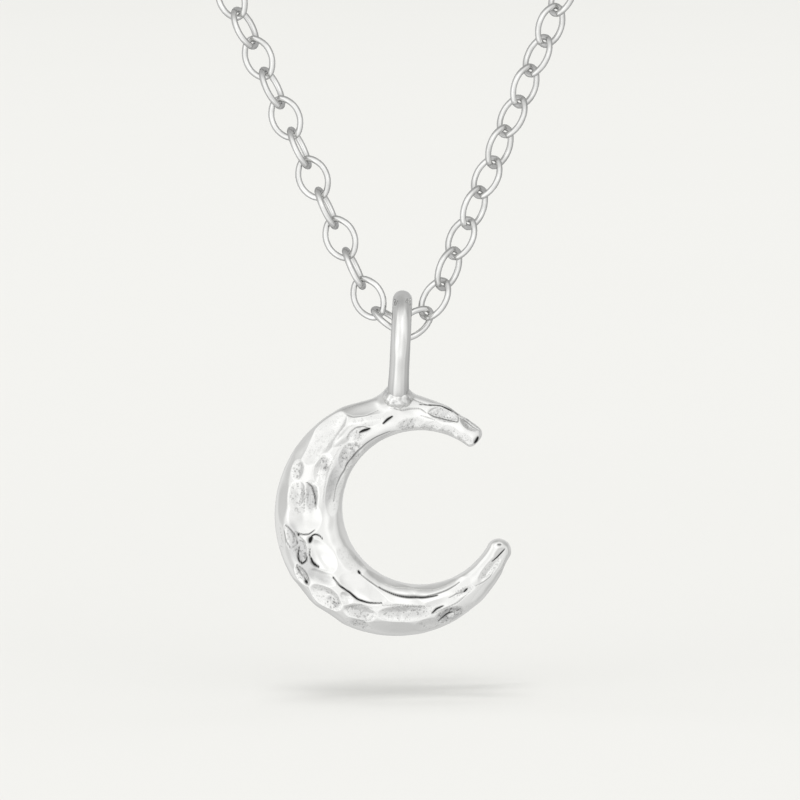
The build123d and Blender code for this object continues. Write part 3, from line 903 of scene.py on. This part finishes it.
def unsmoothed(points, axis):
    """The ring of cage points whose subdivision comes nearest to a ring of twice as many points.

    Subdivision moves a cage point to (before + 6 * itself + after) / 8 and adds one halfway
    between each two, so those two matrices are stacked and solved by least squares.
    """
    count = points.shape[axis] // 2
    one = np.eye(count)
    kept = (np.roll(one, 1, axis=1) + 6 * one + np.roll(one, -1, axis=1)) / 8
    added = (one + np.roll(one, 1, axis=1)) / 2
    smoothing = np.stack([kept, added], axis=1).reshape(2 * count, count)
    moved = np.moveaxis(points, axis, 0)
    solved = np.linalg.lstsq(smoothing, moved.reshape(2 * count, -1), rcond=None)[0]
    return np.moveaxis(solved.reshape(count, *moved.shape[1:]), 0, axis)


link_rows, link_columns = 16, 6
fine_turn = np.linspace(0, 2 * np.pi, 4001)
fine_oval = oval(fine_turn)[0]
fine_run = np.concatenate([[0.0], np.cumsum(np.linalg.norm(np.diff(fine_oval, axis=0), axis=-1))])
by_run = 0.55
evenly = by_run * fine_run / fine_run[-1] + (1 - by_run) * fine_turn / (2 * np.pi)
link_turn = np.interp(np.arange(2 * link_rows) / (2 * link_rows), evenly, fine_turn)
middle, outside = oval(link_turn)
wire_angle = np.linspace(0, 2 * np.pi, 2 * link_columns, endpoint=False)
flat = middle[:, None] + link_wire / 2 * np.cos(wire_angle)[None, :, None] * outside[:, None]
height = np.broadcast_to(link_wire / 2 * np.sin(wire_angle), flat.shape[:2])
link_cage = unsmoothed(unsmoothed(np.concatenate([flat, height[..., None]], axis=-1), 0), 1)
print("link", link_rows, "x", link_columns, "points, wire", round(fine_run[-1], 2), "mm long")


# %% String the links
def link_mesh(links):
    """Points and faces of a half: each link's cage in its own directions, moved to its centre."""
    centres, along, across = links
    axes = np.stack([along, across, np.cross(along, across)], axis=1)
    points = centres[:, None, None] + np.einsum("rcd,ldx->lrcx", link_cage, axes)
    first = np.arange(len(centres))[:, None, None] * link_rows * link_columns
    faces = grid_faces(link_rows, link_columns, closed=True)[None] + first
    return points.reshape(-1, 3), faces.reshape(-1, 4)


def rounded(piece):
    """One level of subdivision, the same in the view and in the render."""
    modifier = piece.modifiers.new("rounded", "SUBSURF")
    modifier.levels = 1
    modifier.render_levels = 1
    modifier.use_limit_surface = False
    return piece


def string_links(name, links, node):
    """One half of the chain as a rounded piece."""
    points, faces = link_mesh(links)
    return rounded(make_piece(name, points, [faces], "chain", node))


links_left = string_links("links_left", left_links, "chain_left")
links_right = string_links("links_right", right_links, "chain_right")

# %% [markdown]
# ## Clasp and end ring
# Behind the neck the photograph shows nothing, so the necklace closes with the plainest clasp
# there is: a ring of tube with a small soldered eyelet, snapped into a wire ring. Both are tori in
# the line between the last two links.


# %% Make the rings
def torus(centre, first, second, radius, tube_radius, rows=72, columns=24):
    """Points and faces of a ring.

    A point is centre + (radius + tube cos b)(first cos a + second sin a) + tube sin b * normal.
    """
    a = np.linspace(0, 2 * np.pi, rows, endpoint=False)[:, None, None]
    b = np.linspace(0, 2 * np.pi, columns, endpoint=False)[None, :, None]
    normal = np.cross(first, second)
    flat_part = (radius + tube_radius * np.cos(b)) * (np.cos(a) * first + np.sin(a) * second)
    points = centre + flat_part + tube_radius * np.sin(b) * normal
    return points.reshape(-1, 3), grid_faces(rows, columns, True)


closing = unit(left_tip - right_tip)
lying_normal = right_links[2][-1]
lying_normal = unit(lying_normal - closing * (lying_normal @ closing))
lying_side = np.cross(lying_normal, closing)
ring_far = tip_gap + link_hold

clasp_centre = right_tip + closing * clasp_at
clasp_points, clasp_faces = torus(clasp_centre, closing, lying_side, clasp_radius, clasp_tube / 2)
eyelet_centre = right_tip + closing * eyelet_at
eyelet_points, eyelet_faces = torus(
    eyelet_centre, closing, lying_side, eyelet_radius, eyelet_wire / 2, rows=40, columns=16,
)
clasp_ring = make_piece(
    "clasp_ring", np.concatenate([clasp_points, eyelet_points]),
    [clasp_faces, eyelet_faces + len(clasp_points)], "chain", "clasp",
)
ring_centre = right_tip + closing * (ring_near + ring_far) / 2
ring_points, ring_faces = torus(
    ring_centre, closing, lying_normal, (ring_far - ring_near) / 2, end_ring_wire / 2, rows=56, columns=16,
)
chain_end_ring = make_piece(
    "chain_end_ring", ring_points, [ring_faces], "chain", "end_ring",
)

# %% [markdown]
# ## Effects that both finishes share
# Silver is never one flat colour. Polishing leaves hair-fine scratches, handling leaves a faint
# warm film that is thicker in hollows, and the gloss varies from place to place. These effects are
# shader node groups, built once and placed in each material with its own values. They put out
# masks and heights only, and the shader itself stays in the material.


# %% Helpers for node trees
def new_group(name, inputs, outputs):
    """A shader node group with named number sockets, its node tree and its two end nodes."""
    tree = bpy.data.node_groups.new(name, "ShaderNodeTree")
    for socket_name, default in inputs:
        socket = tree.interface.new_socket(socket_name, in_out="INPUT", socket_type="NodeSocketFloat")
        socket.default_value = default
    for socket_name in outputs:
        tree.interface.new_socket(socket_name, in_out="OUTPUT", socket_type="NodeSocketFloat")
    return tree, tree.nodes.new("NodeGroupInput"), tree.nodes.new("NodeGroupOutput")


def node(tree, kind, **values):
    """A node with some of its inputs set by name, and its other settings by attribute."""
    made = tree.nodes.new(kind)
    for key, value in values.items():
        if key in made.inputs:
            made.inputs[key].default_value = value
        else:
            setattr(made, key, value)
    return made


def placed(tree, kind, coordinates="Object", **values):
    """A texture node that reads the coordinates of the piece, or others."""
    made = node(tree, kind, **values)
    place = tree.nodes.new("ShaderNodeTexCoord")
    tree.links.new(place.outputs[coordinates], made.inputs["Vector"])
    return made


def math_node(tree, operation, first, second=0.0, clamp=False):
    """A Math node whose two values are numbers or sockets."""
    made = tree.nodes.new("ShaderNodeMath")
    made.operation = operation
    made.use_clamp = clamp
    for socket, value in zip(made.inputs, (first, second)):
        if isinstance(value, (int, float)):
            socket.default_value = value
        else:
            tree.links.new(value, socket)
    return made.outputs[0]


def above(tree, value, threshold, contrast):
    """The mask (value - threshold) * contrast, held between 0 and 1."""
    return math_node(tree, "MULTIPLY", math_node(tree, "SUBTRACT", value, threshold), contrast, clamp=True)


def map_range(tree, value, from_min=0.0, from_max=1.0, to_min=0.0, to_max=1.0):
    """A node that carries a value from one range to another and holds it there."""
    made = tree.nodes.new("ShaderNodeMapRange")
    limits = {"From Min": from_min, "From Max": from_max, "To Min": to_min, "To Max": to_max}
    for socket_name, limit in limits.items():
        made.inputs[socket_name].default_value = limit
    tree.links.new(value, made.inputs["Value"])
    return made


def mix_colours(tree, mask, first, second):
    """A colour that goes from first to second with a mask. Each is a colour or a socket."""
    made = tree.nodes.new("ShaderNodeMix")
    made.data_type = "RGBA"
    tree.links.new(mask, made.inputs["Factor"])
    for socket_name, colour in (("A", first), ("B", second)):
        if isinstance(colour, tuple):
            made.inputs[socket_name].default_value = (*colour, 1.0)
        else:
            tree.links.new(colour, made.inputs[socket_name])
    return made.outputs["Result"]


# %% Polishing scratches
scratch_turns = ((0.3, 0.9, 0.2), (1.2, 0.2, 1.1))
hair_threshold = 0.55
hair_contrast = 8.0
scratches, scratch_in, scratch_out = new_group(
    "polishing_scratches", [("Scale", 900.0), ("Stretch", 14.0)], ["Height", "Mask"],
)
place = scratches.nodes.new("ShaderNodeTexCoord")
fields = []
for rotation in scratch_turns:
    mapping = node(scratches, "ShaderNodeMapping", Rotation=rotation)
    stretch = node(scratches, "ShaderNodeCombineXYZ", X=1.0, Y=1.0)
    streaks = node(scratches, "ShaderNodeTexNoise", Detail=3.0, Roughness=0.6)
    scratches.links.new(scratch_in.outputs["Stretch"], stretch.inputs["Z"])
    scratches.links.new(place.outputs["Object"], mapping.inputs["Vector"])
    scratches.links.new(stretch.outputs[0], mapping.inputs["Scale"])
    scratches.links.new(mapping.outputs[0], streaks.inputs["Vector"])
    scratches.links.new(scratch_in.outputs["Scale"], streaks.inputs["Scale"])
    fields.append(streaks.outputs["Fac"])
both = math_node(scratches, "MULTIPLY", math_node(scratches, "ADD", *fields), 0.5)
hairs = above(scratches, both, hair_threshold, hair_contrast)
scratches.links.new(both, scratch_out.inputs["Height"])
scratches.links.new(hairs, scratch_out.inputs["Mask"])
print("group", scratches.name)

# %% Thin film of tarnish
film_threshold = 0.42
film_contrast = 3.2
film_on_flats = 0.2
film_in_hollows = 0.5
film, film_in, film_out = new_group("thin_tarnish", [("Scale", 500.0), ("Hollow", 0.0)], ["Mask"])
clouds = placed(film, "ShaderNodeTexNoise", Detail=5.0, Roughness=0.62, Distortion=0.4)
film.links.new(film_in.outputs["Scale"], clouds.inputs["Scale"])
patches = above(film, clouds.outputs["Fac"], film_threshold, film_contrast)
deep = math_node(film, "MULTIPLY", film_in.outputs["Hollow"], film_in_hollows)
patches = math_node(film, "MULTIPLY", patches, math_node(film, "ADD", deep, film_on_flats))
film.links.new(patches, film_out.inputs["Mask"])
print("group", film.name)

# %% [markdown]
# ## Silver
# Polished silver reflects nearly all light, so its look is all reflection: the base colour is near
# white and the work is in the roughness and in the height of the surface. The chain is polished
# drawn wire. The moon is polished too, but the punched blows are duller, and their floors hold a
# little grey film. Wire, rings and solder have painted shade: their colour falls off to a dark
# grey where they turn away from the eye, which draws their outline.

# %% Values of the masks
wire_hollow = 0.45
film_dulls = 0.6
hairs_dull = 0.4
grain_dulls = 0.9
scratch_height = 0.08
unlike_threshold = 0.30
unlike_contrast = 1.7
pit_contrast = 7.0
pit_darkness = 0.55
blotch_threshold = 0.34
blotch_contrast = 5.0
grain_threshold = 0.35
grain_contrast = 1.7
crease_shade_contrast = 1.5
# The film grey is grey film and, on one grey patch, painted shade.
film_and_shade_grey = (0.62, 0.62, 0.62)
# The fold black is painted shade on the floors of creases and pits.
painted_shade_black = (0.025, 0.025, 0.025)
# The outline grey and its range are painted shade towards the outline.
painted_edge_shade_grey = (0.24, 0.24, 0.24)
edge_shade_from = 0.10
edge_shade_to = 0.80


# %% Build a silver
def attribute(tree, name):
    """One of the pendant's masks."""
    return node(tree, "ShaderNodeAttribute", attribute_name=name).outputs["Fac"]


def pit_floors(tree, grain_mask, distance):
    """Mask of painted shade on the floors of the pits, which are unlike in size.

    A floor lies where the distance to the pit's middle is under a reach that varies by a noise.
    """
    unlike = placed(tree, "ShaderNodeTexNoise", Scale=4200.0, Detail=1.0)
    reach = math_node(tree, "SUBTRACT", unlike.outputs["Fac"], unlike_threshold)
    reach = math_node(tree, "MULTIPLY", reach, unlike_contrast)
    floors = math_node(tree, "SUBTRACT", reach, distance)
    floors = math_node(tree, "MULTIPLY", floors, pit_contrast, clamp=True)
    return math_node(tree, "MULTIPLY", floors, grain_mask)


def film_and_shade_mask(tree, grain_mask):
    """Mask of grey: film blotches in the punched blows, and the grey patches, one of them painted shade."""
    noise_node = placed(tree, "ShaderNodeTexNoise", Scale=2600.0, Detail=2.0, Roughness=0.6)
    blotches = above(tree, noise_node.outputs["Fac"], blotch_threshold, blotch_contrast)
    punched = above(tree, grain_mask, grain_threshold, grain_contrast)
    punched = math_node(tree, "MULTIPLY", punched, blotches)
    return math_node(tree, "MAXIMUM", punched, attribute(tree, "film_and_shade"))


def silver(name, clean, filmed, smooth, rough, scratch_scale, film_scale, bump_height, masked, edges):
    """Polished silver: film and painted shade change its colour, and film, scratches and punch pits its
    gloss.

    With edges, painted shade darkens the colour to a dark grey where the surface turns away from the eye.
    """
    material = bpy.data.materials.new(name)
    material.use_nodes = True
    tree = material.node_tree
    shader = tree.nodes["Principled BSDF"]
    shader.inputs["Metallic"].default_value = 1.0
    worn = node(tree, "ShaderNodeGroup", node_tree=scratches)
    worn.inputs["Scale"].default_value = scratch_scale
    tarnish = node(tree, "ShaderNodeGroup", node_tree=film)
    tarnish.inputs["Scale"].default_value = film_scale
    tarnish.inputs["Hollow"].default_value = wire_hollow
    film_gloss = math_node(tree, "MULTIPLY", tarnish.outputs["Mask"], film_dulls)
    hair_gloss = math_node(tree, "MULTIPLY", worn.outputs["Mask"], hairs_dull)
    gloss = math_node(tree, "ADD", film_gloss, hair_gloss)
    height = worn.outputs["Height"]
    colour = mix_colours(tree, tarnish.outputs["Mask"], clean, filmed)
    if masked:
        tree.links.new(attribute(tree, "hollow"), tarnish.inputs["Hollow"])
        grain_mask = attribute(tree, "grain")
        distance = placed(tree, "ShaderNodeTexVoronoi", Scale=7600.0).outputs["Distance"]
        grain_gloss = math_node(tree, "MULTIPLY", grain_mask, grain_dulls)
        gloss = math_node(tree, "ADD", gloss, grain_gloss, clamp=True)
        scratched = math_node(tree, "MULTIPLY", height, scratch_height)
        height = math_node(tree, "ADD", scratched, math_node(tree, "MULTIPLY", grain_mask, distance))
        # Painted shade: the floors of the pits and of the creases are coloured near black.
        painted_pit_shade = math_node(tree, "MULTIPLY", pit_floors(tree, grain_mask, distance), pit_darkness)
        folds = math_node(tree, "MULTIPLY", attribute(tree, "crease"), crease_shade_contrast)
        folds = math_node(tree, "MAXIMUM", folds, painted_pit_shade, clamp=True)
        gloss = math_node(tree, "ADD", gloss, folds, clamp=True)
        # Grey film, and on one patch painted shade, greys the colour.
        colour = mix_colours(tree, film_and_shade_mask(tree, grain_mask), colour, film_and_shade_grey)
        colour = mix_colours(tree, folds, colour, painted_shade_black)
    # Painted shade: Layer Weight darkens the colour to a dark grey where the surface turns away from the eye.
    if edges:
        away = node(tree, "ShaderNodeLayerWeight", Blend=0.5).outputs["Facing"]
        painted_edge_shade = map_range(tree, away, edge_shade_from, edge_shade_to, to_max=edges).outputs[0]
        if masked:
            painted_edge_shade = math_node(tree, "MULTIPLY", painted_edge_shade, attribute(tree, "wire"))
        colour = mix_colours(tree, painted_edge_shade, colour, painted_edge_shade_grey)
    roughness = map_range(tree, gloss, to_min=smooth, to_max=rough).outputs[0]
    tree.links.new(roughness, shader.inputs["Roughness"])
    tree.links.new(colour, shader.inputs["Base Color"])
    bump = node(tree, "ShaderNodeBump", Strength=1.0, Distance=bump_height)
    tree.links.new(height, bump.inputs["Height"])
    tree.links.new(bump.outputs["Normal"], shader.inputs["Normal"])
    print("material", name, "roughness", smooth, "to", rough)
    return material


# edges sets the strength of the painted shade towards the outline.
drawn_silver = silver(
    "drawn_silver", clean=(0.97, 0.97, 0.962), filmed=(0.50, 0.50, 0.49), smooth=0.09, rough=0.22,
    scratch_scale=2400.0, film_scale=700.0, bump_height=0.0000015, masked=False, edges=0.85,
)
hammered_silver = silver(
    "hammered_silver", clean=(0.97, 0.97, 0.96), filmed=(0.76, 0.76, 0.75), smooth=0.06, rough=0.28,
    scratch_scale=1500.0, film_scale=420.0, bump_height=0.000010, masked=True, edges=0.85,
)
for piece in (links_left, links_right, clasp_ring, chain_end_ring):
    piece.data.materials.append(drawn_silver)
hammered_moon.data.materials.append(hammered_silver)

# %% [markdown]
# ## The studio
# Jewellery is photographed in a white tent: light comes from everywhere, and polished metal mirrors
# the seams and the shaded walls of the tent. Here the tent is white from 64 degrees left of the
# camera to 15 degrees right of it, and grey beyond, darkest at the right wall. Overhead it greys
# towards a dark seam just past the top, which draws the upper edges. A wide soft light above throws
# the pool of shadow on the floor. Neither it nor the floor is mirrored in the metal.

# %% Camera
moon_middle = Vector((0.00081, -0.08859, -0.14750))
camera_distance = 0.400
camera_height = photo_rise
camera_roll = -photo_roll
camera_data = bpy.data.cameras.new("camera")
camera_data.lens = 300.8
camera_data.sensor_width = 36.0
camera = bpy.data.objects.new("camera", camera_data)
bpy.context.scene.collection.objects.link(camera)
back = Vector((0.0, -np.cos(camera_height), np.sin(camera_height)))
looking = (-back).to_track_quat("-Z", "Y").to_matrix().to_4x4()
rolled = Matrix.Rotation(camera_roll, 4, "Z")
camera.matrix_world = Matrix.Translation(moon_middle + back * camera_distance) @ looking @ rolled
bpy.context.scene.camera = camera
print("camera at", [round(v, 4) for v in camera.matrix_world.translation])


# %% Floor
floor_height = -0.1651
floor_middle = -0.088
ring_count = 40
points_round = 96
floor_rings = np.geomspace(0.01, 3.2, ring_count)[:, None]
floor_turn = np.linspace(0, 2 * np.pi, points_round, endpoint=False)[None, :]
floor_parts = np.broadcast_arrays(
    floor_rings * np.cos(floor_turn),
    floor_middle + floor_rings * np.sin(floor_turn),
    floor_height + 0 * floor_rings,
)
floor_points = np.stack(floor_parts, axis=-1).reshape(-1, 3)
floor_mesh = bpy.data.meshes.new("floor")
middle_face = list(range(points_round))[::-1]
floor_faces = grid_faces(ring_count, points_round, closed=False).tolist() + [middle_face]
floor_mesh.from_pydata(floor_points.tolist(), [], floor_faces)
floor_mesh.polygons.foreach_set("use_smooth", np.ones(len(floor_mesh.polygons), bool))
floor = bpy.data.objects.new("floor", floor_mesh)
bpy.context.scene.collection.objects.link(floor)
paper = bpy.data.materials.new("pale_paper")
paper.use_nodes = True
paper_shader = paper.node_tree.nodes["Principled BSDF"]
paper_shader.inputs["Roughness"].default_value = 0.9
paper_shader.inputs["Specular IOR Level"].default_value = 0.0
paper_low = (0.733, 0.731, 0.710)
paper_high = (0.738, 0.736, 0.716)
paper_noise = placed(paper.node_tree, "ShaderNodeTexNoise", Scale=18.0, Detail=2.0).outputs["Fac"]
paper_colour = mix_colours(paper.node_tree, paper_noise, paper_low, paper_high)
paper.node_tree.links.new(paper_colour, paper_shader.inputs["Base Color"])
floor_mesh.materials.append(paper)
print("floor", len(floor_mesh.polygons), "faces")

# %% Soft light above
top_data = bpy.data.lights.new("soft_top", "AREA")
top_data.shape = "RECTANGLE"
top_data.size = 2.6
top_data.size_y = 4.8
top_data.energy = 214.0
top = bpy.data.objects.new("soft_top", top_data)
top.location = (-0.30, -0.088, 5.84)
bpy.context.scene.collection.objects.link(top)
top.visible_glossy = False
floor.visible_glossy = False

# %% Sky
world = bpy.data.worlds.new("white_tent")
bpy.context.scene.world = world
world.use_nodes = True
sky = world.node_tree
sky_place = sky.nodes.new("ShaderNodeTexCoord")
split = sky.nodes.new("ShaderNodeSeparateXYZ")
sky.links.new(sky_place.outputs["Generated"], split.inputs[0])


Stop = namedtuple("Stop", "degrees level")
full_turn = float(2 * np.pi)


def turn_share(first, second):
    """Turn about an axis as a share of the full turn, from 0 to 1, where 0.5 is at the camera."""
    turn = math_node(sky, "ARCTAN2", first, second)
    return math_node(sky, "ADD", math_node(sky, "DIVIDE", turn, full_turn), 0.5)


def level_ramp(share, stops):
    """Brightness read from a row of stops, a touch warmer than grey."""
    ramp = sky.nodes.new("ShaderNodeValToRGB")
    while len(ramp.color_ramp.elements) < len(stops):
        ramp.color_ramp.elements.new(0.5)
    for element, stop in zip(ramp.color_ramp.elements, stops):
        element.position = stop.degrees / 360 + 0.5
        element.color = (stop.level, stop.level, stop.level * 0.99, 1.0)
    sky.links.new(share, ramp.inputs["Fac"])
    return ramp.outputs["Color"]


# Degrees to the right of the camera, where 90 is the right wall and 180 behind the piece
walls = [
    Stop(-180, 0.58), Stop(-120, 0.68), Stop(-95, 0.70), Stop(-85, 0.66), Stop(-74, 0.70),
    Stop(-64, 1.00), Stop(15, 1.00), Stop(32, 0.84), Stop(60, 0.71), Stop(76, 0.61),
    Stop(86, 0.46), Stop(94, 0.48), Stop(110, 0.56), Stop(180, 0.58),
]
# Degrees up over the piece, where 90 is straight up and 180 behind the piece
over = [
    Stop(-180, 0.56), Stop(-110, 0.54), Stop(-88, 0.58), Stop(-66, 0.66), Stop(-52, 0.84),
    Stop(-38, 1.00), Stop(52, 1.00), Stop(61, 0.88), Stop(71, 0.78), Stop(80, 0.65),
    Stop(89, 0.53), Stop(104, 0.50), Stop(114, 0.56), Stop(128, 0.62), Stop(180, 0.60),
]
toward = math_node(sky, "MULTIPLY", split.outputs["Y"], -1.0)
around = level_ramp(turn_share(split.outputs["X"], toward), walls)
overhead = level_ramp(turn_share(split.outputs["Z"], toward), over)
steepness = map_range(sky, math_node(sky, "ABSOLUTE", split.outputs["Z"]), 0.66, 0.84)
steepness.interpolation_type = "SMOOTHSTEP"
tent = mix_colours(sky, steepness.outputs[0], around, overhead)

# Clouds of light on the cloth
cloth = placed(sky, "ShaderNodeTexNoise", coordinates="Generated", Scale=1.3, Detail=0.0)
cloud_level = map_range(sky, cloth.outputs["Fac"], 0.36, 0.58, 0.86, 1.06)
lit = node(sky, "ShaderNodeVectorMath", operation="SCALE")
sky.links.new(tent, lit.inputs[0])
sky.links.new(cloud_level.outputs[0], lit.inputs["Scale"])
background = sky.nodes["Background"]
sky.links.new(lit.outputs[0], background.inputs["Color"])
background.inputs["Strength"].default_value = 1.07

# Where the camera looks past the paper it sees the same pale tone
beyond = sky.nodes.new("ShaderNodeBackground")
beyond.inputs["Color"].default_value = (0.886, 0.884, 0.860, 1.0)
rays = sky.nodes.new("ShaderNodeLightPath")
either = sky.nodes.new("ShaderNodeMixShader")
sky.links.new(rays.outputs["Is Camera Ray"], either.inputs["Fac"])
sky.links.new(background.outputs[0], either.inputs[1])
sky.links.new(beyond.outputs[0], either.inputs[2])
sky.links.new(either.outputs[0], sky.nodes["World Output"].inputs["Surface"])
bpy.context.scene.view_settings.view_transform = "Standard"
bpy.context.scene.view_settings.look = "None"
print("sky stops", len(walls), "and", len(over))
